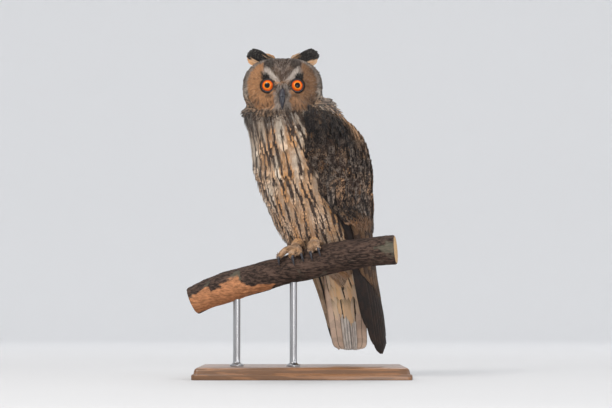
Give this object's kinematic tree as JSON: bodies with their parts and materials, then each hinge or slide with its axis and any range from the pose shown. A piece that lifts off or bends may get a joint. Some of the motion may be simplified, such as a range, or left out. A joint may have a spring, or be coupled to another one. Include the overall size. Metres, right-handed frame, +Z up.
{
  "type": "perched long-eared owl model on a display stand",
  "caption": "Life-size model of a long-eared owl gripping a short cut branch, its head turned to the viewer and its tail hanging behind, on a plain flat stand.",
  "frame": {"origin": "on the floor, under the middle of the stand's base", "axes": "+Z up; -Y towards the viewer, the way the owl looks; +X to the viewer's right"},
  "size_m": [0.2605, 0.1935, 0.3831],
  "materials": {
    "face_plumage": "fine soft feathers: tawny disc, grey-white brows, dark brown crown and tufts",
    "body_plumage": "soft feathers: buff with dark brown shaft streaks",
    "wing_plumage": "dark brown feathers with pale grey and buff mottling and bars",
    "tail_plumage": "buff and grey feathers with brown bars",
    "foot_plumage": "short plain buff feathers",
    "eyes": "glossy orange iris with a black pupil",
    "horn": "smooth blackish horn",
    "bark": "rough brown bark, peeled to reddish wood in places, sawn ends",
    "base_wood": "satin varnished wood",
    "rod_metal": "brushed"
  },
  "bodies": {
    "root": {"head": "face_plumage", "neck": "body_plumage", "torso": "body_plumage", "ear_tuft_left": "face_plumage", "ear_tuft_right": "face_plumage", "eye_left": "eyes", "eye_right": "eyes", "bill_upper": "horn", "bill_lower": "horn", "wing_left": "wing_plumage", "wing_right": "wing_plumage", "tail": "tail_plumage", "foot_left": "foot_plumage", "foot_right": "foot_plumage", "claw_inner_left": "horn", "claw_middle_left": "horn", "claw_outer_left": "horn", "claw_hind_left": "horn", "claw_inner_right": "horn", "claw_middle_right": "horn", "claw_outer_right": "horn", "claw_hind_right": "horn", "perch": "bark", "stand_base": "base_wood", "stand_rod_left": "rod_metal", "stand_rod_right": "rod_metal"}
  },
  "joints": []
}
